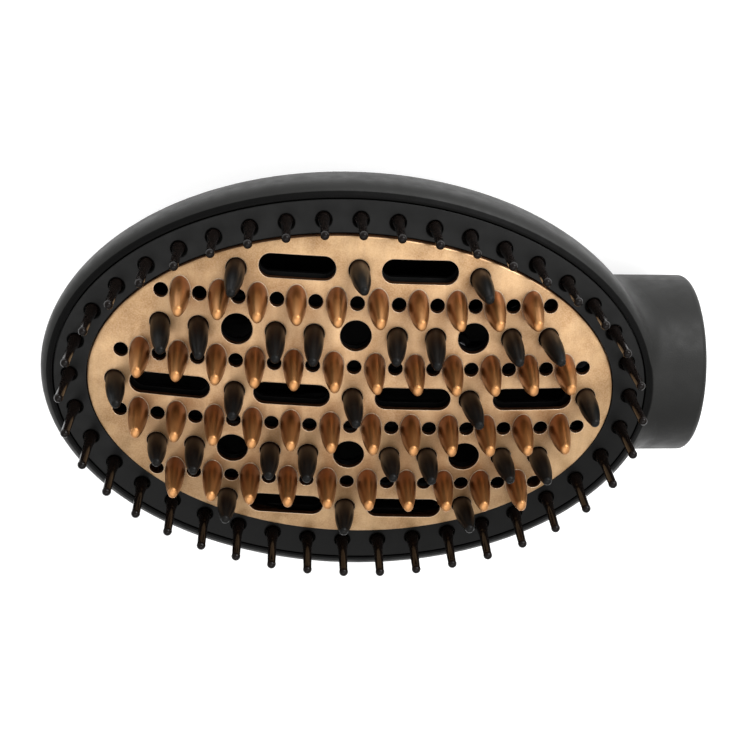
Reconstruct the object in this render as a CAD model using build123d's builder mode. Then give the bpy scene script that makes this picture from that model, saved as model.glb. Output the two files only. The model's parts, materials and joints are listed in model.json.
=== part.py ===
from build123d import *
import os
from math import asin, cos, radians, sin, sqrt

# Oval paddle head of a hot air styler: a crowned, vented and toothed plate, bristles through it
# and a row of pins round it, in a frame on a hollow shell with a round coupling collar.
# +X runs along the head towards the collar and +Z points out of the toothed plate. The origin is
# on the flat of the back, straight below the crown of the plate. Millimetres.

# ---------------------------------------------------------------- driving dimensions
LONG_EXTRA = 23.0          # each oval's long half axis is this much more than its short one
CROWN_Z = 50.0             # highest point of the plate
CROWN_RX = 265.0           # crown radius along the head
CROWN_RY = 115.0           # crown radius across the head
SEAM_Z = 42.2              # top of the rim lip, level with the frame's outer edge

HULL_B = 46.2              # half width of the shell at its widest
HULL_WIDEST_Z = 37.0       # height of the widest section
HULL_DEPTH = 38.5          # depth of the hull's curve, cut off by the flat back at z = 0
HULL_TAIL = 0.3            # how full the hull stays towards the collar as it deepens
HULL_STEPS = 7             # level sections below the widest one
LIP_B = 44.8               # half width of the lip's outer edge
LIP_ROUND = 0.8
TRIM = 14.0                # spare height above the lip, cut away at the end
WALL = 2.2                 # shell wall

COLLAR_R = 20.4            # outer radius of the collar
COLLAR_WALL = 2.0
COLLAR_TILT = 6.0          # the collar leans back from the plate's plane, degrees
COLLAR_ROUND = 1.4
COLLAR_REACH = 30.0        # how far the collar's tube runs into the hull
NECK_FILLET = 8.0
MOUTH_X = 78.3             # centre of the collar's mouth
MOUTH_Z = 20.6
SEAT_DEPTH = 11.5          # bore that takes the coupling sleeve
DUCT_R = 14.6              # air duct behind it
SNAP_DEPTH = 6.0           # groove that holds the sleeve, and the sleeve's rib
SNAP_WIDE = 1.2
SNAP_HIGH = 0.4

FRAME_B = 42.95            # half width of the frame's outer edge
FRAME_OPEN_B = 35.7        # half width of its opening
FRAME_RISE = 0.9           # inner edge above the outer edge
FRAME_EDGE = 1.6           # depth of the outer edge
FRAME_UNDER = 41.2         # underside of the frame's skin
HALVES_TURN = 5.9          # where the two halves of its top meet, degrees
SKIRT_B = 42.15            # outside of the skirt that drops into the shell
SKIRT_IN = (64.5, 40.8)    # half axes of the skirt's inside
SKIRT_Z = 37.4             # bottom of the skirt
POCKET_B = 43.3            # pocket in the shell round the frame
SHELF_B = 42.25            # inner edge of the shelf under it
SHELF_Z = 39.6
SHELF_THICK = 2.0
HOOKS = 8
HOOK_WIDE = 6.0
HOOK_Z = 35.2
HOOK_OUT = 0.8

PLATE_B = 35.45            # half width of the plate's visible edge
PLATE_THICK = 1.5
PLATE_ROUND = 0.5
FLANGE_B = 36.7            # flange caught behind the frame
FLANGE_TOP = 40.6
FLANGE_THICK = 1.2

PITCH_X = 8.4              # hole pitch along the head
MID_GAP = 0.66             # extra gap each side of the middle column
PITCH_Y = 7.09             # row pitch across the head
VENT_R = 1.62
BIG_VENT_R = 3.45
BRISTLE_HOLE_R = 2.3
SLOT_WIDE = 5.15
SLOT_LONG = 16.8
END_SLOT_LONG = 17.8

TOOTH_HEIGHT = 13.6
TOOTH_ROOT = (2.24, 3.4)   # half axes at the root, along and across the head
TOOTH_TIP = (0.95, 1.1)    # half axes where the end rounds over
TOOTH_SINK = 0.9           # how far the root runs into the plate

BRISTLE_HEIGHT = 13.9      # above the plate
BRISTLE_R = 2.08
BRISTLE_MID_R = 2.04       # halfway up, so that the sides bulge
BRISTLE_TIP_R = 1.08
BRISTLE_HEAD_R = 2.7
BRISTLE_HEAD = 0.6
BRISTLE_DROP = 2.6         # top of the head below the plate's outer surface
BACKING_DROP = 4.25        # top of the backing plate below the plate's outer surface
BACKING_THICK = 1.2
BACKING_B = 32.6
POST_R = 1.9
POST_GAP = 0.5             # posts end this far above the backing plate
SEAT_GAP = 0.35            # screw heads end this far below it, clear of its slope

RIM_PINS = 40
RIM_A = 62.6               # oval that the rim pins stand on
RIM_B = 38.8
RIM_PIN_TIP_Z = 57.6
RIM_PIN_FLARE = 0.06       # outward lean, as a slope
RIM_PIN_ROOT_R = 1.5
RIM_PIN_R = 0.92
RIM_BALL_R = 1.0
RIM_HOLE_R = 1.75
RIM_SINK = 0.1             # countersink of each pin hole
RIM_SKIN_Z = 42.66         # frame's surface at the pins
RIM_NECK_R = 1.2           # pin where the carrier is moulded round it
RIM_HEAD_R = 1.8
RIM_HEAD = 0.55
RIM_HEAD_ROOM = 0.8        # space for the heads between carrier and clamp ring
RIM_FOOT_GAP = 0.12        # keeps a leaning head clear of the clamp ring
CARRIER_IN = 1.95          # the pin carrier, each side of the pins' oval
CARRIER_OUT = 1.7
CARRIER_Z = 39.8

CLAMP_B = 40.3
CLAMP_OPEN_B = 33.9
CLAMP_Z = 37.6
BOSS_R = 1.6
SCREW_R = 0.8              # all small screws: shank, head radius and head height
SCREW_HEAD_R = 1.7
SCREW_HEAD = 1.1
SCREW_PILOT_R = 0.85

SLEEVE_BORE_R = 16.5       # takes the handle's spigot
SLEEVE_LENGTH = 11.2
KEYWAY_WIDE = 4.0
KEYWAY_LONG = 6.5
KEYWAY_DEEP = 1.0
SPRING_DEPTH = 8.6         # detent spring's groove
SPRING_WIRE_R = 0.45
SPRING_ARC = 300.0         # the detent spring is an open ring
SEAL_R = 15.6
SEAL_WIRE_R = 0.8
LINER_LENGTH = 10.0

GUIDE_LOW_X = 47.0         # low end of the air guide's baffle
GUIDE_LOW_Z = 9.0
GUIDE_LENGTH = 96.0
GUIDE_RISE = 0.24
GUIDE_THICK = 1.4
GUIDE_COLLAR = 1.2         # legs stand this far above the baffle
GUIDE_FOOT_Z = 4.7

CLEAR = 0.05

# ---------------------------------------------------------------- layout of the plate
# Rows run along the head. Each entry: (row, columns).
VENT_ROWS = ((3, 5), (1, 6), (-1, 6), (-3, 5))       # small vents from -n to n, a tooth between each
# Bristles lean, each its own way: (column, row, lean along x, lean along y), the leans at the tip.
BRISTLE_ROWS = (
    ((-3.08, 3.84, -0.8, -1.0), (0, 4, 0.6, 0), (3.08, 3.84, 0.8, 0)),
    (
        (-5, 2, 0.8, -1.4), (-4, 2, 0.6, -1.8), (-2, 2, 0, -1.2), (-1, 2, -0.4, -1.4),
        (1, 2, -0.8, -0.6), (2, 2, -0.4, -1.4), (4, 2, 0.4, -0.4), (5, 2, 1.2, -0.4),
    ),
    ((-6.15, 0, 1.2, -0.4), (-3, 0, -0.2, -0.4), (0, 0, 0.4, -0.6), (3, 0, 1.2, -0.4), (6.15, 0, 0.4, -0.4)),
    (
        (-5, -2, 0.6, 0.8), (-4, -2, 0.2, -0.2), (-2, -2, -0.2, 0), (-1, -2, -0.4, -0.2),
        (1, -2, 0.2, 0.8), (2, -2, 0.2, 0.2), (4, -2, 0.8, 0.4), (5, -2, 0.8, -0.2),
    ),
    ((-3.08, -3.84, -0.2, 0.6), (0, -4, -0.6, 0.4), (3.08, -3.84, 0.8, 0.4)),
)
BIG_VENTS = [(i, j) for j in (2, -2) for i in (-3, 0, 3)]
SLOTS = [(i, j) for j in (4, 0, -4) for i in (-1.51, 1.51)]
END_SLOTS = [(-4.7, 0), (4.7, 0)]
POSTS = [(-4.5, 3), (0.5, 3), (4.5, 3), (-4.5, -3), (-0.5, -3), (4.5, -3)]
GUIDE_SCREWS = [(-22.0, 0.0), (26.0, 0.0)]


def spot(i, j):
    """Place on the head of column i, row j; half columns lie midway between columns."""
    side = (i > 0) - (i < 0)
    return i * PITCH_X + side * MID_GAP * min(1.0, abs(i)), j * PITCH_Y


VENTS = [spot(i, j) for j, n in VENT_ROWS for i in range(-n, n + 1)]
TEETH = [spot(i + 0.5, j) for j, n in VENT_ROWS for i in range(-n, n)]
BRISTLES = [spot(i, j) for row in BRISTLE_ROWS for i, j, _, _ in row]

# Plane of the collar's mouth: its normal points out of the mouth.
MOUTH = Plane(
    origin=(MOUTH_X, 0, MOUTH_Z),
    x_dir=(0, 1, 0),
    z_dir=(cos(radians(COLLAR_TILT)), 0, -sin(radians(COLLAR_TILT))),
)
RIM_PATH = Edge.make_ellipse(RIM_A, RIM_B)
RIM_SPOTS = [RIM_PATH.position_at(k / RIM_PINS) for k in range(RIM_PINS)]
CLAMP_STEPS = [(5 * k + 2.5) / RIM_PINS for k in range(8)]       # after every fifth pin
CLAMP_SCREWS = [RIM_PATH.position_at(step) for step in CLAMP_STEPS]


def finish(builder, name):
    """Label a finished piece and write its file."""
    builder.part.label = name
    export_step(builder.part, f"parts/{name}.step")


def level(z):
    return Plane.XY.offset(z)


def oval(b, mode=Mode.ADD):
    """The head's oval with half width b."""
    return Ellipse(b + LONG_EXTRA, b, mode=mode)


def crown_height(x, y):
    """Height of the plate's outer surface."""
    sag = CROWN_RX - sqrt(CROWN_RX**2 - x**2)
    return CROWN_Z - CROWN_RY + sqrt((CROWN_RY - sag) ** 2 - y**2)


def crown_body(drop):
    """Everything under the crown surface when that is lowered by drop."""
    reach = 72.0
    axis_z = CROWN_Z - CROWN_RY
    edge = CROWN_Z - drop - CROWN_RX + sqrt(CROWN_RX**2 - reach**2)
    with BuildPart() as body:
        with BuildSketch(Plane.XZ):
            with BuildLine():
                ThreePointArc((-reach, edge), (0, CROWN_Z - drop), (reach, edge))
                Polyline((reach, edge), (reach, axis_z), (-reach, axis_z), (-reach, edge))
            make_face()
        revolve(axis=Axis((0, 0, axis_z), (1, 0, 0)))
    return body.part


def hull_body(inset):
    """The hull's smooth body, inset from its outside by a wall."""
    full_a = HULL_B + LONG_EXTRA - inset
    depth = HULL_DEPTH - inset
    floor = asin((HULL_WIDEST_Z - inset) / depth)
    sections = [
        (LIP_B + LONG_EXTRA - inset, LIP_B - inset, 0.0, SEAM_Z + TRIM),
        (LIP_B + LONG_EXTRA - inset, LIP_B - inset, 0.0, SEAM_Z - LIP_ROUND),
    ]
    for k in range(HULL_STEPS + 1):
        t = floor * k / HULL_STEPS
        left = -full_a * cos(t)
        right = full_a * cos(t) ** HULL_TAIL
        half_width = (HULL_B - inset) * cos(t)
        sections.append(((right - left) / 2, half_width, (right + left) / 2, HULL_WIDEST_Z - depth * sin(t)))
    with BuildPart() as body:
        for a, b, centre, z in sections:
            with BuildSketch(level(z)):
                with Locations((centre, 0)):
                    Ellipse(a, b, rotation=180)
        loft()
    return body.part


def make_rear_shell():
    outside = hull_body(0)
    inside = hull_body(WALL)
    with BuildPart() as cavity:
        add(inside)
        with BuildSketch(level(SHELF_Z - SHELF_THICK)):
            Rectangle(200, 200)
        extrude(amount=40, mode=Mode.SUBTRACT)
    with BuildPart() as shell:
        add(outside)
        with BuildSketch(MOUTH):
            Circle(COLLAR_R)
        extrude(amount=-COLLAR_REACH)
        fillet(shell.edges(Select.LAST).filter_by(GeomType.BSPLINE), NECK_FILLET)
        fillet(shell.edges().filter_by(GeomType.CIRCLE).sort_by(Axis.X)[-1], COLLAR_ROUND)
        with BuildSketch(level(SEAM_Z)):
            Rectangle(200, 200)
        extrude(amount=40, mode=Mode.SUBTRACT)
        fillet(shell.edges().group_by(Axis.Z)[-1], LIP_ROUND)
        # Cavity, shelf and pocket for the frame.
        add(cavity.part, mode=Mode.SUBTRACT)
        with BuildSketch(level(SHELF_Z - SHELF_THICK - 1)):
            oval(SHELF_B)
        extrude(amount=SHELF_THICK + 2, mode=Mode.SUBTRACT)
        with BuildSketch(level(SHELF_Z)):
            oval(POCKET_B)
        extrude(amount=10, mode=Mode.SUBTRACT)
        # Seat for the sleeve, its snap groove, and the duct into the hull.
        with BuildSketch(MOUTH):
            Circle(COLLAR_R - COLLAR_WALL)
        extrude(amount=-SEAT_DEPTH, mode=Mode.SUBTRACT)
        with BuildSketch(MOUTH.offset(-SNAP_DEPTH)):
            Circle(COLLAR_R - COLLAR_WALL + SNAP_HIGH)
        extrude(amount=-SNAP_WIDE, mode=Mode.SUBTRACT)
        with BuildSketch(MOUTH):
            Circle(DUCT_R)
        extrude(amount=-COLLAR_REACH, mode=Mode.SUBTRACT)
        # Bosses for the air guide.
        with BuildSketch(level(WALL - 0.5)):
            with Locations(*GUIDE_SCREWS):
                Circle(3)
        extrude(amount=GUIDE_FOOT_Z - WALL + 0.5)
        with BuildSketch(level(1.4)):
            with Locations(*GUIDE_SCREWS):
                Circle(SCREW_PILOT_R)
        extrude(amount=10, mode=Mode.SUBTRACT)
    finish(shell, "rear_shell")


def make_front_frame():
    with BuildPart() as frame:
        # The sloping top is lofted from half ovals that meet between pins, clear of the pin holes.
        for b, z in ((FRAME_B, SEAM_Z), (FRAME_OPEN_B, SEAM_Z + FRAME_RISE)):
            with BuildSketch(level(z)):
                with BuildLine():
                    for turn in (HALVES_TURN, HALVES_TURN + 180):
                        EllipticalCenterArc((0, 0), b + LONG_EXTRA, b, turn, arc_size=180)
                make_face()
        loft()
        with BuildSketch(level(SEAM_Z - FRAME_EDGE)):
            oval(FRAME_B)
        extrude(amount=FRAME_EDGE)
        with BuildSketch(level(SKIRT_Z)):
            oval(SKIRT_B)
        extrude(amount=SEAM_Z - SKIRT_Z)
        with BuildSketch(level(SKIRT_Z)):
            Ellipse(*SKIRT_IN)
        extrude(amount=FRAME_UNDER - SKIRT_Z, mode=Mode.SUBTRACT)
        with BuildSketch(level(SKIRT_Z)):
            oval(FRAME_OPEN_B)
        extrude(amount=10, mode=Mode.SUBTRACT)
        # Snap hooks that catch under the shell's shelf.
        skirt_path = Edge.make_ellipse(SKIRT_B + LONG_EXTRA, SKIRT_B)
        for k in range(HOOKS):
            at = skirt_path.position_at(k / HOOKS)
            along = skirt_path.tangent_at(k / HOOKS)
            outward = along.cross(Vector(0, 0, 1))
            with BuildSketch(Plane(origin=at + along * (HOOK_WIDE / 2), x_dir=outward, z_dir=-along)):
                with BuildLine():
                    Polyline(
                        (-0.9, SKIRT_Z + 0.6), (-0.9, HOOK_Z), (-0.2, HOOK_Z), (HOOK_OUT, SKIRT_Z - 0.5),
                        (HOOK_OUT, SKIRT_Z), (-0.1, SKIRT_Z), (-0.1, SKIRT_Z + 0.6), (-0.9, SKIRT_Z + 0.6),
                    )
                make_face()
            extrude(amount=HOOK_WIDE)
        # Screw bosses between the pins.
        with BuildSketch(level(CARRIER_Z - RIM_HEAD_ROOM)):
            with Locations(*CLAMP_SCREWS):
                Circle(BOSS_R)
        extrude(amount=FRAME_UNDER - CARRIER_Z + RIM_HEAD_ROOM + 0.3)
        with BuildSketch(level(CARRIER_Z - RIM_HEAD_ROOM)):
            with Locations(*CLAMP_SCREWS):
                Circle(SCREW_PILOT_R)
        extrude(amount=2.8, mode=Mode.SUBTRACT)
        # Countersunk pin holes, cut from 1 mm above the surface.
        with Locations(*[at + Vector(0, 0, RIM_SKIN_Z + 1) for at in RIM_SPOTS]):
            CounterSinkHole(RIM_HOLE_R, RIM_HOLE_R + RIM_SINK + 1, RIM_SKIN_Z + 1.1 - FRAME_UNDER, 90)
    finish(frame, "front_frame")


def make_frame_seal():
    with BuildPart() as seal:
        with BuildSketch(level(SHELF_Z)):
            oval(FRAME_B - 0.1)
            oval(SKIRT_B + 0.15, mode=Mode.SUBTRACT)
        extrude(amount=SEAM_Z - FRAME_EDGE - SHELF_Z)
    finish(seal, "frame_seal")


def tooth_body():
    """One almond-shaped tooth standing on the origin."""
    straight = TOOTH_HEIGHT - TOOTH_TIP[0]
    with BuildPart() as tooth:
        for t in (-TOOTH_SINK / straight, 0.0, 0.3, 0.6, 0.82, 1.0):
            fall = max(t, 0) ** 2
            with BuildSketch(level(t * straight)):
                Ellipse(*(root + (tip - root) * fall for root, tip in zip(TOOTH_ROOT, TOOTH_TIP)))
        loft()
        fillet(tooth.edges().group_by(Axis.Z)[-1], TOOTH_TIP[0] * 0.8)
    return tooth.part


def make_bristle_plate():
    outer = crown_body(0)
    inner = crown_body(PLATE_THICK)
    flange_low = FLANGE_TOP - FLANGE_THICK
    with BuildPart() as lining:
        with BuildSketch(level(flange_low - 1)):
            oval(PLATE_B - PLATE_THICK)
        extrude(amount=20)
        add(inner, mode=Mode.INTERSECT)
    with BuildPart() as plate:
        with BuildSketch(level(flange_low)):
            oval(PLATE_B)
        extrude(amount=20)
        add(outer, mode=Mode.INTERSECT)
        fillet(plate.edges().group_by(Axis.Z)[-1], PLATE_ROUND)
        with BuildSketch(level(flange_low)):
            oval(FLANGE_B)
        extrude(amount=FLANGE_THICK)
        add(lining.part, mode=Mode.SUBTRACT)
        # Posts for the backing plate, reaching down from the underside.
        for x, y in (spot(i, j) for i, j in POSTS):
            top = crown_height(x, y)
            with BuildSketch(level(top - BACKING_DROP + POST_GAP)):
                with Locations((x, y)):
                    Circle(POST_R)
            extrude(amount=BACKING_DROP - POST_GAP - PLATE_THICK / 2)
        # Vents, bristle holes and slots.
        with BuildSketch(level(30)):
            with Locations(*VENTS):
                Circle(VENT_R)
            with Locations(*[spot(i, j) for i, j in BIG_VENTS]):
                Circle(BIG_VENT_R)
            with Locations(*BRISTLES):
                Circle(BRISTLE_HOLE_R)
            with Locations(*[spot(i, j) for i, j in SLOTS]):
                SlotOverall(SLOT_LONG, SLOT_WIDE)
            with Locations(*[spot(i, j) for i, j in END_SLOTS]):
                SlotOverall(END_SLOT_LONG, SLOT_WIDE)
        extrude(amount=30, mode=Mode.SUBTRACT)
        for x, y in (spot(i, j) for i, j in POSTS):
            with BuildSketch(level(crown_height(x, y) - BACKING_DROP)):
                with Locations((x, y)):
                    Circle(SCREW_PILOT_R)
            extrude(amount=BACKING_DROP - 0.6, mode=Mode.SUBTRACT)
    finish(plate, "bristle_plate")


def make_plate_teeth():
    """Almond-shaped teeth, each foot cut to the crown that it stands on."""
    tooth = tooth_body()
    under = crown_body(-CLEAR / 5)
    with BuildPart() as group:
        add([tooth.moved(Location((x, y, crown_height(x, y)))) for x, y in TEETH])
        add(under, mode=Mode.SUBTRACT)
    finish(group, "plate_teeth")


def make_bristle_backing():
    top = crown_body(BACKING_DROP)
    below = crown_body(BACKING_DROP + BACKING_THICK)
    with BuildPart() as backing:
        with BuildSketch(level(34)):
            oval(BACKING_B)
        extrude(amount=20)
        add(top, mode=Mode.INTERSECT)
        add(below, mode=Mode.SUBTRACT)
        with BuildSketch(level(30)):
            with Locations(*VENTS):
                Circle(VENT_R + 0.6)
            with Locations(*[spot(i, j) for i, j in BIG_VENTS]):
                Circle(BIG_VENT_R + 0.4)
            with Locations(*[spot(i, j) for i, j in SLOTS + END_SLOTS]):
                SlotOverall(SLOT_LONG, SLOT_WIDE)
            with Locations(*[spot(i, j) for i, j in POSTS]):
                Circle(SCREW_R + 0.3)
        extrude(amount=30, mode=Mode.SUBTRACT)
    finish(backing, "bristle_backing")


def peg(foot, lean, stem, flank, tip):
    """A turned peg on a leaning axis, in (radius, height) up from the foot: a stem of straight
    lines, then a flank and a rounded tip, each an arc through its last point, two more and so on."""
    side = Vector(0, 1, 0).cross(lean)
    with BuildPart() as body:
        with BuildSketch(Plane(origin=foot, x_dir=side, z_dir=side.cross(lean))):
            with BuildLine():
                Polyline(*stem)
                ThreePointArc(stem[-1], *flank)
                ThreePointArc(flank[-1], *tip)
                Line(tip[-1], stem[0])
            make_face()
        revolve(axis=Axis(foot, lean))
    return body.part


def make_plate_bristles():
    """Rows of bulging, tapered bristles, each held by its own head behind the plate."""
    straight = BRISTLE_HEIGHT - BRISTLE_TIP_R
    knuckle = BRISTLE_TIP_R * sin(radians(45))
    up = BRISTLE_DROP + BRISTLE_HEAD
    stem = [
        (0, 0), (BRISTLE_HEAD_R, 0), (BRISTLE_HEAD_R, BRISTLE_HEAD), (BRISTLE_R, BRISTLE_HEAD),
        (BRISTLE_R, up + 1.0),
    ]
    flank = [(BRISTLE_MID_R, up + straight / 2), (BRISTLE_TIP_R, up + straight)]
    tip = [(knuckle, up + straight + knuckle), (0, up + BRISTLE_HEIGHT)]
    for n, row in enumerate(BRISTLE_ROWS, start=1):
        bristles = []
        for i, j, lean_x, lean_y in row:
            x, y = spot(i, j)
            lean = Vector(lean_x / BRISTLE_HEIGHT, lean_y / BRISTLE_HEIGHT, 1)
            # The axis passes through the middle of the hole in the plate.
            foot = Vector(x, y, crown_height(x, y) - PLATE_THICK / 2) - lean * (up - PLATE_THICK / 2)
            bristles.append(peg(foot, lean.normalized(), stem, flank, tip))
        with BuildPart() as group:
            add(bristles)
        finish(group, f"bristles_row_{n}")


def make_rim_pins():
    """Slender pins with ball ends, each held by its own head under the carrier, leaning outward."""
    foot_z = CARRIER_Z - RIM_HEAD_ROOM + RIM_FOOT_GAP
    height = RIM_PIN_TIP_Z - foot_z
    step = FRAME_UNDER - foot_z + RIM_FOOT_GAP
    ball = height - RIM_BALL_R
    skin = RIM_SKIN_Z - foot_z
    neck = sqrt(RIM_BALL_R**2 - RIM_PIN_R**2)
    stem = [
        (0, 0), (RIM_HEAD_R, 0), (RIM_HEAD_R, RIM_HEAD), (RIM_NECK_R, RIM_HEAD),
        (RIM_NECK_R, step), (RIM_PIN_ROOT_R, step), (RIM_PIN_ROOT_R, skin),
        (RIM_PIN_R + 0.3, skin + 2.6), (RIM_PIN_R + 0.1, skin + 4.6),
    ]
    flank = [(RIM_PIN_R + 0.04, (skin + 4.6 + ball) / 2), (RIM_PIN_R, ball - neck)]
    tip = [(RIM_BALL_R, ball), (0, height)]
    quarter = RIM_PINS // 4
    for n in range(4):
        pins = []
        for k in range(n * quarter, (n + 1) * quarter):
            at = RIM_PATH.position_at(k / RIM_PINS)
            outward = RIM_PATH.tangent_at(k / RIM_PINS).cross(Vector(0, 0, 1))
            lean = (outward * RIM_PIN_FLARE + Vector(0, 0, 1)).normalized()
            foot = Vector(at.X, at.Y, foot_z) - outward * (RIM_PIN_FLARE * skin)
            pins.append(peg(foot, lean, stem, flank, tip))
        with BuildPart() as group:
            add(pins)
        finish(group, f"rim_pins_{n + 1}")


def make_pin_carrier():
    """Eight strips of five pins each, parted by gaps for the screw bosses."""
    gaps = []
    for step in CLAMP_STEPS:
        along = RIM_PATH.tangent_at(step)
        gaps.append(Plane(RIM_PATH.position_at(step), x_dir=along, z_dir=(0, 0, 1)).location)
    with BuildPart() as carrier:
        with BuildSketch(level(CARRIER_Z)):
            Ellipse(RIM_A + CARRIER_OUT, RIM_B + CARRIER_OUT)
            Ellipse(RIM_A - CARRIER_IN, RIM_B - CARRIER_IN, mode=Mode.SUBTRACT)
            with Locations(*RIM_SPOTS):
                Circle(RIM_NECK_R + 0.2, mode=Mode.SUBTRACT)
            with Locations(*gaps):
                Rectangle(2 * BOSS_R + 0.2, 6, mode=Mode.SUBTRACT)
        extrude(amount=FRAME_UNDER - CARRIER_Z)
    finish(carrier, "rim_pin_carrier")


def make_insulating_ring():
    """Thin heat barrier between the hot plate's flange and the frame."""
    with BuildPart() as ring:
        with BuildSketch(level(FLANGE_TOP)):
            oval(FLANGE_B)
            oval(FRAME_OPEN_B + 0.1, mode=Mode.SUBTRACT)
        extrude(amount=FRAME_UNDER - FLANGE_TOP)
    finish(ring, "insulating_ring")


def make_clamp_ring():
    """Ring screwed up behind the frame: its step holds the plate, its face holds the pin heads."""
    step_z = FLANGE_TOP - FLANGE_THICK
    face_z = CARRIER_Z - RIM_HEAD_ROOM
    with BuildPart() as ring:
        with BuildSketch(level(CLAMP_Z)):
            oval(CLAMP_B)
            oval(CLAMP_OPEN_B, mode=Mode.SUBTRACT)
            with Locations(*CLAMP_SCREWS):
                Circle(SCREW_R + 0.15, mode=Mode.SUBTRACT)
        extrude(amount=face_z - CLAMP_Z)
        with BuildSketch(level(face_z)):
            oval(FLANGE_B - 0.4)
            oval(CLAMP_OPEN_B, mode=Mode.SUBTRACT)
        extrude(amount=step_z - face_z)
    finish(ring, "clamp_ring")


def screws_up(places, length):
    """Pan-head screws with cross recesses, driven upward; each place is the seat of a head."""
    screws = []
    for x, y, z in places:
        with BuildPart() as screw:
            with BuildSketch(level(z)):
                with Locations((x, y)):
                    Circle(SCREW_R)
            extrude(amount=length)
            with BuildSketch(level(z - SCREW_HEAD)):
                with Locations((x, y)):
                    Circle(SCREW_HEAD_R)
            extrude(amount=SCREW_HEAD)
            fillet(screw.edges().group_by(Axis.Z)[0], 0.45)
            with BuildSketch(level(z - SCREW_HEAD)):
                with Locations((x, y)):
                    Rectangle(2.0, 0.5)
                    Rectangle(0.5, 2.0)
            extrude(amount=0.6, mode=Mode.SUBTRACT)
        screws.append(screw.part)
    return screws


def make_clamp_screws():
    with BuildPart() as group:
        add(screws_up([(p.X, p.Y, CLAMP_Z) for p in CLAMP_SCREWS], 4.0))
    finish(group, "clamp_screws")


def make_backing_screws():
    seats = []
    for x, y in (spot(i, j) for i, j in POSTS):
        seats.append((x, y, crown_height(x, y) - BACKING_DROP - BACKING_THICK - SEAT_GAP))
    with BuildPart() as group:
        add(screws_up(seats, 4.8))
    finish(group, "backing_screws")


def make_air_guide():
    """Sloping baffle with ribs that spreads the air along the plate, on two legs."""
    far = (GUIDE_LOW_X - GUIDE_LENGTH, GUIDE_LOW_Z + GUIDE_RISE * GUIDE_LENGTH)
    low_x, low_z = GUIDE_LOW_X, GUIDE_LOW_Z
    rise, thick = GUIDE_RISE, GUIDE_THICK
    with BuildPart() as guide:
        with BuildSketch(Plane.XZ.offset(-15)):
            with BuildLine():
                Polyline(
                    (low_x, low_z), far, (far[0], far[1] + thick), (low_x, low_z + thick), (low_x, low_z)
                )
            make_face()
        extrude(amount=30)
        for y in (-9.5, 0, 9.5):
            with BuildSketch(Plane.XZ.offset(-y - 0.6)):
                with BuildLine():
                    Polyline(
                        (low_x - 4, low_z + thick / 2), (far[0] + 8, far[1] - 8 * rise + thick / 2),
                        (far[0] + 8, far[1] + 3), (low_x - 10, low_z + 8), (low_x - 4, low_z + thick / 2),
                    )
                make_face()
            extrude(amount=1.2)
        for x, y in GUIDE_SCREWS:
            top = low_z + (low_x - x) * rise + thick + GUIDE_COLLAR
            with BuildSketch(level(GUIDE_FOOT_Z)):
                with Locations((x, y)):
                    Circle(3)
            extrude(amount=top - GUIDE_FOOT_Z)
            with BuildSketch(level(top)):
                with Locations((x, y)):
                    Circle(SCREW_HEAD_R + 0.6)
            extrude(amount=12, mode=Mode.SUBTRACT)
            with BuildSketch(level(0)):
                with Locations((x, y)):
                    Circle(SCREW_R + 0.15)
            extrude(amount=60, mode=Mode.SUBTRACT)
    finish(guide, "air_guide")


def make_guide_screws():
    """Screws driven down through the legs of the air guide."""
    seats = []
    for x, y in GUIDE_SCREWS:
        seats.append((x, -y, -(GUIDE_LOW_Z + (GUIDE_LOW_X - x) * GUIDE_RISE + GUIDE_THICK + GUIDE_COLLAR)))
    screws = []
    for (x, y, z), length in zip(seats, (-seats[0][2] - 3.2, -seats[1][2] - 3.2)):
        screws.append(screws_up([(x, y, z)], length)[0].rotate(Axis.X, 180))
    with BuildPart() as group:
        add(screws)
    finish(group, "guide_screws")


def mouth_ring(outer_r, inner_r, depth, length):
    """Ring about the collar's axis, starting at a depth inside the mouth."""
    with BuildPart() as ring:
        with BuildSketch(MOUTH.offset(-depth)):
            Circle(outer_r)
            Circle(inner_r, mode=Mode.SUBTRACT)
        extrude(amount=-length)
    return ring.part


def make_coupling_sleeve():
    """Sleeve snapped into the collar; the handle's spigot slides into its bore."""
    outer_r = COLLAR_R - COLLAR_WALL - CLEAR
    start = SEAT_DEPTH - SLEEVE_LENGTH
    groove_half = SPRING_WIRE_R + CLEAR
    wall = mouth_ring(outer_r, SLEEVE_BORE_R, start, SLEEVE_LENGTH)
    rib_r = outer_r + SNAP_HIGH - 2 * CLEAR
    rib = mouth_ring(rib_r, outer_r - 0.5, SNAP_DEPTH + CLEAR, SNAP_WIDE - 2 * CLEAR)
    groove = mouth_ring(SLEEVE_BORE_R + 0.9, SLEEVE_BORE_R - 0.5, SPRING_DEPTH - groove_half, 2 * groove_half)
    with BuildPart() as sleeve:
        add(wall)
        add(rib)
        add(groove, mode=Mode.SUBTRACT)
        with BuildSketch(MOUTH.offset(-start + 1)):
            with PolarLocations(SLEEVE_BORE_R, 3, start_angle=90):
                Rectangle(2 * KEYWAY_DEEP, KEYWAY_WIDE)
        extrude(amount=-KEYWAY_LONG - 1, mode=Mode.SUBTRACT)
    finish(sleeve, "coupling_sleeve")


def make_turned_ring(name, centre_r, wire_r, depth, arc):
    """Ring of round section about the collar's axis; arc under 360 leaves it open."""
    centre = MOUTH.origin - MOUTH.z_dir * depth
    section = centre + MOUTH.x_dir * centre_r
    with BuildPart() as ring:
        with BuildSketch(Plane(origin=section, x_dir=MOUTH.x_dir, z_dir=MOUTH.y_dir)):
            Circle(wire_r)
        revolve(axis=Axis(MOUTH.origin, MOUTH.z_dir), revolution_arc=arc)
    finish(ring, name)


def make_neck_liner():
    """Thin aluminium tube that keeps the hot air off the neck's wall."""
    tube = mouth_ring(DUCT_R - CLEAR, DUCT_R - 0.45, SEAT_DEPTH + 0.3, LINER_LENGTH)
    with BuildPart() as liner:
        add(tube)
    finish(liner, "neck_liner")


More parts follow.
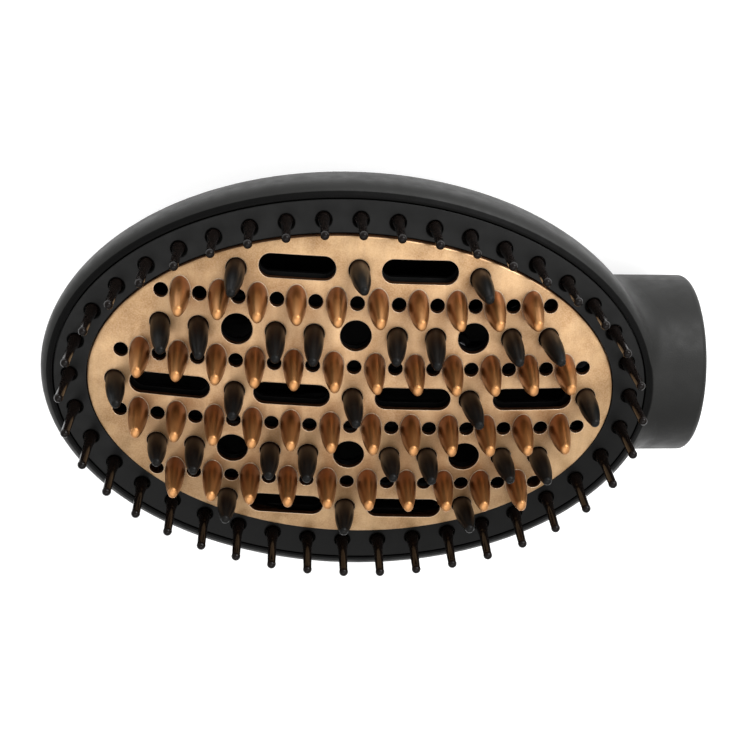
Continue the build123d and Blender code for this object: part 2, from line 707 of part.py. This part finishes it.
if __name__ == "__main__":
    os.makedirs("parts", exist_ok=True)
    make_rear_shell()
    make_front_frame()
    make_frame_seal()
    make_bristle_plate()
    make_plate_teeth()
    make_bristle_backing()
    make_plate_bristles()
    make_rim_pins()
    make_pin_carrier()
    make_insulating_ring()
    make_clamp_ring()
    make_clamp_screws()
    make_backing_screws()
    make_air_guide()
    make_guide_screws()
    make_coupling_sleeve()
    make_turned_ring("coupling_seal", SEAL_R, SEAL_WIRE_R, SEAT_DEPTH - SEAL_WIRE_R, 360)
    make_turned_ring("detent_spring", SLEEVE_BORE_R + 0.3, SPRING_WIRE_R, SPRING_DEPTH, SPRING_ARC)
    make_neck_liner()
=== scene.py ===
import json
from math import cos, pi, radians, sin, sqrt

import bpy
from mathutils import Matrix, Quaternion, Vector


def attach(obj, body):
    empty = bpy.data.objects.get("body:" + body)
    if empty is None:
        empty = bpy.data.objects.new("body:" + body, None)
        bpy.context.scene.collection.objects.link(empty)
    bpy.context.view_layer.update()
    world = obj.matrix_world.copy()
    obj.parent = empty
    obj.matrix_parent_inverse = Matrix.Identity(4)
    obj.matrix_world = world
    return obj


# Looks of the oval hot air brush head: materials for its CAD nodes, the soft feet of its teeth,
# a pale floor, studio light and the camera. Metres; +X runs to the coupling collar, +Z out of the
# toothed plate, and the origin is on the flat of the back.

MM = 0.001

# The plate's crown and its pattern, as in the CAD model.
CROWN_Z = 50.0 * MM
CROWN_RX = 265.0 * MM
CROWN_RY = 115.0 * MM
PITCH_X = 8.4 * MM
PITCH_Y = 7.09 * MM
MID_GAP = 0.66 * MM
TOOTH_ROWS = ((3, 5), (1, 6), (-1, 6), (-3, 5))
TOOTH_ROOT = (2.24 * MM, 3.4 * MM)
FILLET = 0.26 * MM                 # soft foot round each tooth
FOOT_OVERLAP = 0.08 * MM           # how far a foot reaches into its tooth
FOOT_LIFT = 0.012 * MM             # keeps a foot's rim just clear of the plate
FOOT_BASE_LIFT = 0.005 * MM

# The shell's lip, where its grain gives way to a smooth dark band beside the frame.
LIP_RX = 67.8 * MM
LIP_RY = 44.8 * MM
LIP_Z = 41.6 * MM

# Camera: aimed at a point near the crown. The lens and the sensor's width are in millimetres.
AIM = Vector((0.0042, 0.0060, 0.050))
DISTANCE = 0.4528
AZIMUTH = radians(99.1)
ELEVATION = radians(67.5)
ROLL = radians(173.9)
LENS = 99.97
SENSOR = 36.0

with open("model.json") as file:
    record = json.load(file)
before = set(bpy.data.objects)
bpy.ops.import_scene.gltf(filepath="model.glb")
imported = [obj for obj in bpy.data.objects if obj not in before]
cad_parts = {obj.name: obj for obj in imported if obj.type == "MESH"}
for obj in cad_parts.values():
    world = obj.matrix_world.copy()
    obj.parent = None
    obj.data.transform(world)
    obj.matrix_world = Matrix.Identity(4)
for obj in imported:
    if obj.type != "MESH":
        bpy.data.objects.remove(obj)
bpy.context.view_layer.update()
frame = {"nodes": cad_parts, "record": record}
nodes = frame["nodes"]


# ---------------------------------------------------------------- materials
class Look:
    """A Principled material and short ways to add patterns to it."""

    def __init__(self, name, color, roughness, metallic=0.0, specular=0.5):
        self.material = bpy.data.materials.new(name)
        self.material.use_nodes = True
        self.tree = self.material.node_tree
        self.shader = self.tree.nodes["Principled BSDF"]
        self.set("Base Color", (*color, 1))
        self.set("Roughness", roughness)
        self.set("Metallic", metallic)
        self.set("Specular IOR Level", specular)
        self.place = self.add("TexCoord").outputs["Object"]
        self.normal = None

    def add(self, kind, **settings):
        node = self.tree.nodes.new("ShaderNode" + kind)
        for key, value in settings.items():
            setattr(node, key, value)
        return node

    def link(self, source, target):
        self.tree.links.new(source, target)

    def set(self, name, value):
        self.shader.inputs[name].default_value = value

    def noise(self, size, detail=3.0, stretch=(1, 1, 1)):
        """Noise whose features are about this size; stretch lengthens them along an axis."""
        mapping = self.add("Mapping")
        mapping.inputs["Scale"].default_value = [1 / (size * s) for s in stretch]
        texture = self.add("TexNoise")
        texture.inputs["Scale"].default_value = 1.0
        texture.inputs["Detail"].default_value = detail
        self.link(self.place, mapping.inputs["Vector"])
        self.link(mapping.outputs["Vector"], texture.inputs["Vector"])
        return texture.outputs["Fac"]

    def spread(self, value, low, high, start=0.3, end=0.7):
        """Maps start to end of a value onto low to high."""
        ramp = self.add("MapRange", interpolation_type="SMOOTHSTEP")
        self.link(value, ramp.inputs["Value"])
        for key, number in (("From Min", start), ("From Max", end), ("To Min", low), ("To Max", high)):
            ramp.inputs[key].default_value = number
        return ramp.outputs["Result"]

    def blend(self, factor, first, second, mode="MIX"):
        """Mixes two colours, each a colour or a socket."""
        mix = self.add("Mix", data_type="RGBA", blend_type=mode)
        for socket, value in ((mix.inputs[0], factor), (mix.inputs[6], first), (mix.inputs[7], second)):
            if isinstance(value, bpy.types.NodeSocket):
                self.link(value, socket)
            elif isinstance(value, tuple):
                socket.default_value = (*value, 1)
            else:
                socket.default_value = value
        return mix.outputs[2]

    def tint(self, color):
        self.link(color, self.shader.inputs["Base Color"])

    def rough(self, value):
        self.link(value, self.shader.inputs["Roughness"])

    def bump(self, height, depth, strength=1.0):
        node = self.add("Bump")
        node.inputs["Distance"].default_value = depth
        node.inputs["Strength"].default_value = strength
        self.link(height, node.inputs["Height"])
        if self.normal:
            self.link(self.normal, node.inputs["Normal"])
        self.normal = node.outputs["Normal"]
        self.link(self.normal, self.shader.inputs["Normal"])

    def soft_edges(self, radius):
        """Rounds the shading of sharp edges, and returns how near an edge a point is."""
        bevel = self.add("Bevel", samples=6)
        bevel.inputs["Radius"].default_value = radius
        self.normal = bevel.outputs["Normal"]
        self.link(self.normal, self.shader.inputs["Normal"])
        true = self.add("NewGeometry")
        dot = self.add("VectorMath", operation="DOT_PRODUCT")
        self.link(self.normal, dot.inputs[0])
        self.link(true.outputs["True Normal"], dot.inputs[1])
        return self.spread(dot.outputs["Value"], 1.0, 0.0, 0.75, 0.99)

    def crevices(self, reach):
        """1 in the open, falling towards 0 where other surfaces crowd within this reach."""
        node = self.add("AmbientOcclusion", samples=6)
        node.inputs["Distance"].default_value = reach
        return node.outputs["AO"]

    def steep(self, level, wall):
        """0 where a surface lies flat to 1 where it stands on edge, by its own normal's Z."""
        split = self.add("SeparateXYZ")
        self.link(self.add("NewGeometry").outputs["True Normal"], split.inputs["Vector"])
        up = self.add("Math", operation="ABSOLUTE")
        self.link(split.outputs["Z"], up.inputs[0])
        return self.spread(up.outputs["Value"], 1.0, 0.0, level, wall)

    def on_lip(self):
        """1 on the upward face of the shell's lip, 0 elsewhere."""
        split = self.add("SeparateXYZ")
        self.link(self.place, split.inputs["Vector"])
        reach = None
        for axis, radius in (("X", LIP_RX), ("Y", LIP_RY)):
            part = self.add("Math", operation="DIVIDE")
            part.inputs[1].default_value = radius
            self.link(split.outputs[axis], part.inputs[0])
            square = self.add("Math", operation="POWER")
            square.inputs[1].default_value = 2
            self.link(part.outputs["Value"], square.inputs[0])
            if reach is None:
                reach = square
            else:
                total = self.add("Math", operation="ADD")
                self.link(reach.outputs["Value"], total.inputs[0])
                self.link(square.outputs["Value"], total.inputs[1])
                reach = total
        inside = self.spread(reach.outputs["Value"], 1.0, 0.0, 0.995, 1.015)
        high = self.spread(split.outputs["Z"], 0.0, 1.0, LIP_Z - 0.2 * MM, LIP_Z)
        both = self.add("Math", operation="MULTIPLY")
        self.link(inside, both.inputs[0])
        self.link(high, both.inputs[1])
        return both.outputs["Value"]

    def above_plate(self, low, high):
        """0 to 1 as a point's height above the crowned plate goes from low to high."""
        split = self.add("SeparateXYZ")
        self.link(self.place, split.inputs["Vector"])
        height = split.outputs["Z"]
        for axis, radius in (("X", CROWN_RX), ("Y", CROWN_RY)):
            square = self.add("Math", operation="POWER")
            square.inputs[1].default_value = 2
            self.link(split.outputs[axis], square.inputs[0])
            raised = self.add("Math", operation="MULTIPLY_ADD")
            raised.inputs[1].default_value = 1 / (2 * radius)
            self.link(square.outputs["Value"], raised.inputs[0])
            self.link(height, raised.inputs[2])
            height = raised.outputs["Value"]
        return self.spread(height, 0.0, 1.0, CROWN_Z + low, CROWN_Z + high)


def moulded(name, color, roughness, grain, depth, specular=0.5, lip=None):
    """Moulded plastic: faint cloudiness, uneven gloss, fine grain and edges worn a little lighter.
    A lip colour is worn by the smooth band on the shell's lip."""
    look = Look(name, color, roughness, specular=specular)
    edge = look.soft_edges(0.25 * MM)
    light = tuple(c * 1.15 for c in color)
    dark = tuple(c * 0.88 for c in color)
    clouds = look.blend(look.spread(look.noise(14 * MM), 0.0, 1.0), dark, light)
    worn = tuple(c * 1.5 + 0.003 for c in color)
    body = look.blend(look.spread(edge, 0.0, 0.6, 0.0, 1.0), clouds, worn)
    gloss = look.spread(look.noise(3 * MM, 5.0), roughness - 0.05, roughness + 0.05)
    if lip:
        band = look.on_lip()
        body = look.blend(band, body, lip)
        look.link(look.spread(band, specular, 0.05, 0.0, 1.0), look.shader.inputs["Specular IOR Level"])
    look.tint(body)
    look.rough(gloss)
    look.bump(look.noise(grain, 2.0), depth, 0.8)
    return look.material


def bronze():
    """Pearl bronze coating on the plate: warm mottling, faint drawn streaks across the head, fine flake,
    painted shade where other surfaces crowd round it and on the steep walls of holes, and painted highlights
    along its edges.
    """
    look = Look("plate_bronze", (0.60, 0.36, 0.17), 0.34, metallic=0.45)
    edge = look.soft_edges(0.4 * MM)
    mottle = look.spread(look.noise(7 * MM, 5.0), 0.0, 1.0)
    clouds = look.blend(mottle, (0.33, 0.175, 0.064), (0.62, 0.395, 0.198))
    streaks = look.noise(1.1 * MM, 3.0, stretch=(1, 26, 26))
    streaked = look.blend(look.spread(streaks, 0.0, 0.3, 0.35, 0.75), clouds, (0.36, 0.21, 0.10))
    flakes = look.blend(look.spread(look.noise(0.32 * MM, 2.0), 0.0, 0.26), streaked, (0.78, 0.56, 0.36))
    # Painted shade: within 7 mm of other surfaces, such as the teeth and bristles, the plate is darkened
    # towards brown.
    painted_shade_amount = look.spread(look.crevices(7 * MM), 0.72, 0.0, 0.35, 0.95)
    shaded = look.blend(painted_shade_amount, flakes, (0.20, 0.10, 0.038))
    # Painted highlight: a pale rim painted along sharp edges, such as those round the holes and slots.
    edge_highlighted = look.blend(look.spread(edge, 0.0, 0.8, 0.05, 0.8), shaded, (0.90, 0.74, 0.55))
    # Painted shade: the steep walls of the holes and slots are tinted dark brown.
    look.tint(look.blend(look.steep(0.35, 0.75), edge_highlighted, (0.075, 0.030, 0.012)))
    look.rough(look.spread(look.noise(1.2 * MM, 4.0, stretch=(1, 9, 9)), 0.30, 0.42))
    look.bump(look.noise(0.22 * MM, 2.0), 0.006 * MM, 0.7)
    look.bump(look.noise(7 * MM, 2.0, stretch=(1, 2.5, 1)), 0.05 * MM, 0.5)
    return look.material


def copper():
    """Smooth satin copper on the teeth: darker brown at the foot as painted shade, golden and paler towards
    the end as a painted highlight.
    """
    look = Look("teeth_copper", (0.42, 0.19, 0.07), 0.32, metallic=0.88)
    look.soft_edges(0.8 * MM)
    mottle = look.spread(look.noise(4 * MM, 2.0), 0.0, 1.0)
    deep = look.blend(mottle, (0.21, 0.058, 0.008), (0.31, 0.098, 0.016))
    # Painted shade and painted highlight: the colour runs from dark brown at the foot to pale gold towards
    # the end, by height above the plate.
    look.tint(look.blend(look.above_plate(1 * MM, 12 * MM), deep, (0.47, 0.222, 0.078)))
    look.rough(look.spread(look.noise(3 * MM, 2.0), 0.36, 0.43))
    look.set("Coat Weight", 0.18)
    look.set("Coat Roughness", 0.2)
    return look.material


def bristle_nylon():
    """Dark nylon with a satin skin: brown where it leaves the plate, slate at the ends."""
    look = Look("bristle_nylon", (0.012, 0.009, 0.008), 0.34, specular=0.11)
    look.soft_edges(0.4 * MM)
    rise = look.above_plate(0.5 * MM, 9 * MM)
    body = look.blend(rise, (0.012, 0.0048, 0.0024), (0.0045, 0.0048, 0.0048))
    look.tint(look.blend(look.spread(look.noise(1.8 * MM, 3.0), 0.0, 0.25), body, (0.011, 0.008, 0.006)))
    look.rough(look.spread(look.noise(1.2 * MM, 3.0, stretch=(1, 1, 5)), 0.28, 0.40))
    look.bump(look.noise(0.6 * MM, 2.0, stretch=(1, 1, 5)), 0.008 * MM, 0.6)
    return look.material


def pin_nylon():
    """Smoked translucent nylon: near black in the thick root, brown and a little clearer above."""
    look = Look("pin_nylon", (0.03, 0.014, 0.008), 0.14, specular=0.17)
    look.set("IOR", 1.4)
    look.soft_edges(0.3 * MM)
    rise = look.above_plate(-5 * MM, 1 * MM)
    look.tint(look.blend(rise, (0.0018, 0.0018, 0.0018), (0.005, 0.0034, 0.0028)))
    look.rough(look.spread(look.noise(1.5 * MM, 2.0, stretch=(1, 1, 4)), 0.08, 0.14))
    look.link(look.spread(rise, 0.0, 0.05, 0.2, 1.0), look.shader.inputs["Transmission Weight"])
    look.bump(look.noise(2 * MM, 1.0, stretch=(1, 1, 3)), 0.02 * MM, 0.4)
    return look.material


def metal(name, color, roughness, grain):
    """Bare metal with a drawn grain."""
    look = Look(name, color, roughness, metallic=1.0)
    dark = tuple(c * 0.8 for c in color)
    look.tint(look.blend(look.spread(look.noise(2 * MM, 4.0), 0.0, 1.0), dark, color))
    look.rough(look.spread(look.noise(grain, 4.0, stretch=(8, 1, 1)), roughness - 0.08, roughness + 0.1))
    look.bump(look.noise(grain, 3.0, stretch=(8, 1, 1)), 0.01 * MM, 0.5)
    return look.material


def layered(name, dark, light, roughness):
    """Mica laminate: flecks in thin layers."""
    look = Look(name, light, roughness)
    look.tint(look.blend(look.spread(look.noise(0.8 * MM, 5.0, stretch=(3, 3, 0.3)), 0.0, 1.0), dark, light))
    look.rough(look.spread(look.noise(0.5 * MM, 3.0), roughness - 0.1, roughness + 0.1))
    look.bump(look.noise(0.4 * MM, 3.0), 0.02 * MM, 0.6)
    return look.material


LOOKS = {
    "shell_charcoal": moulded(
        "shell_charcoal", (0.0095, 0.0095, 0.0088), 0.5, 0.32 * MM, 0.04 * MM, 0.22,
        lip=(0.0025, 0.0025, 0.0024),
    ),
    "frame_black": moulded("frame_black", (0.0034, 0.0034, 0.0032), 0.38, 0.22 * MM, 0.012 * MM, 0.15),
    "plate_bronze": bronze(),
    "teeth_copper": copper(),
    "bristle_nylon": bristle_nylon(),
    "pin_nylon": pin_nylon(),
    "inner_polymer": moulded("inner_polymer", (0.004, 0.004, 0.004), 0.55, 0.4 * MM, 0.02 * MM, 0.1),
    "seal_silicone": moulded("seal_silicone", (0.016, 0.016, 0.016), 0.62, 0.5 * MM, 0.01 * MM, 0.3),
    "insulation": layered("insulation", (0.07, 0.035, 0.016), (0.20, 0.11, 0.055), 0.5),
    "screw_steel": metal("screw_steel", (0.30, 0.30, 0.31), 0.4, 0.3 * MM),
    "liner_aluminium": metal("liner_aluminium", (0.05, 0.05, 0.052), 0.4, 0.4 * MM),
}
for row in frame["record"]["subparts"]:
    node_mesh = nodes[row["node"]].data
    node_mesh.materials.clear()
    node_mesh.materials.append(LOOKS[row["material_slot"]])


# ---------------------------------------------------------------- soft feet of the teeth
def crown_height(x, y):
    """Height of the plate's crowned top."""
    sag = CROWN_RX - sqrt(CROWN_RX**2 - x**2)
    return CROWN_Z - CROWN_RY + sqrt((CROWN_RY - sag) ** 2 - y**2)


def tooth_spots():
    """Middles of the teeth; the pitch opens up a little at the middle of the head."""
    spots = []
    for j, n in TOOTH_ROWS:
        for k in range(-n, n):
            i = k + 0.5
            side = 1 if i > 0 else -1
            spots.append((i * PITCH_X + side * MID_GAP * min(1.0, abs(i)), j * PITCH_Y))
    return spots


def tooth_feet(around=48, across=6):
    """One closed ring per tooth: a hollow curve from the tooth's side out to the plate."""
    verts = []
    faces = []
    for x, y in tooth_spots():
        start = len(verts)
        for k in range(around):
            turn = 2 * pi * k / around
            for m in range(across + 1):
                bend = pi / 2 * m / across
                out = FILLET * (1 - cos(bend)) - FOOT_OVERLAP
                up = FILLET * (1 - sin(bend)) + FOOT_LIFT
                px = x + (TOOTH_ROOT[0] + out) * cos(turn)
                py = y + (TOOTH_ROOT[1] + out) * sin(turn)
                verts.append((px, py, crown_height(px, py) + up))
            px = x + (TOOTH_ROOT[0] - FOOT_OVERLAP) * cos(turn)
            py = y + (TOOTH_ROOT[1] - FOOT_OVERLAP) * sin(turn)
            verts.append((px, py, crown_height(px, py) + FOOT_BASE_LIFT))
        ring = across + 2
        for k in range(around):
            here = start + k * ring
            there = start + (k + 1) % around * ring
            for m in range(ring):
                after = (m + 1) % ring
                faces.append((here + m, here + after, there + after, there + m))
    mesh = bpy.data.meshes.new("tooth_feet")
    mesh.from_pydata(verts, [], faces)
    mesh.materials.append(LOOKS["plate_bronze"])
    mesh.shade_smooth()
    feet = bpy.data.objects.new("tooth_feet", mesh)
    bpy.context.collection.objects.link(feet)
    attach(feet, "root")


tooth_feet()


# ---------------------------------------------------------------- floor, light and camera
def pale_floor():
    """Near-white floor with a faint glow of its own, which keeps shadows on it light."""
    look = Look("floor_white", (0.95, 0.95, 0.95), 0.7, specular=0.1)
    look.tint(look.blend(look.spread(look.noise(0.3), 0.0, 1.0), (0.94, 0.94, 0.94), (0.96, 0.96, 0.96)))
    look.set("Emission Color", (1, 1, 1, 1))
    look.set("Emission Strength", 0.25)
    mesh = bpy.data.meshes.new("floor")
    mesh.from_pydata([(-3, -3, 0), (3, -3, 0), (3, 3, 0), (-3, 3, 0)], [], [(0, 1, 2, 3)])
    mesh.materials.append(look.material)
    floor = bpy.data.objects.new("floor", mesh)
    bpy.context.collection.objects.link(floor)


def softbox(name, place, size, power, color=(1, 1, 1)):
    """Rectangular light aimed at the head."""
    data = bpy.data.lights.new(name, "AREA")
    data.shape = "RECTANGLE"
    data.size, data.size_y = size
    data.energy = power
    data.color = color
    lamp = bpy.data.objects.new(name, data)
    lamp.location = place
    lamp.rotation_euler = (AIM - Vector(place)).to_track_quat("-Z", "Y").to_euler()
    bpy.context.collection.objects.link(lamp)


def studio():
    world = bpy.data.worlds.new("studio")
    world.use_nodes = True
    background = world.node_tree.nodes["Background"]
    background.inputs["Color"].default_value = (1, 1, 1, 1)
    background.inputs["Strength"].default_value = 0.72
    bpy.context.scene.world = world
    softbox("key", (0.6, 1.05, 0.7), (0.9, 0.6), 17.0)
    softbox("fill", (0.1, -0.18, 1.18), (1.7, 0.85), 8.4)
    bpy.context.scene.view_settings.view_transform = "Standard"


def camera():
    data = bpy.data.cameras.new("camera")
    data.lens = LENS
    data.sensor_width = SENSOR
    back = Vector((cos(ELEVATION) * cos(AZIMUTH), cos(ELEVATION) * sin(AZIMUTH), sin(ELEVATION)))
    upright = back.to_track_quat("Z", "Y")
    view = bpy.data.objects.new("camera", data)
    view.location = AIM + back * DISTANCE
    view.rotation_euler = (upright @ Quaternion((0, 0, 1), ROLL)).to_euler()
    bpy.context.collection.objects.link(view)
    bpy.context.scene.camera = view


pale_floor()
studio()
camera()
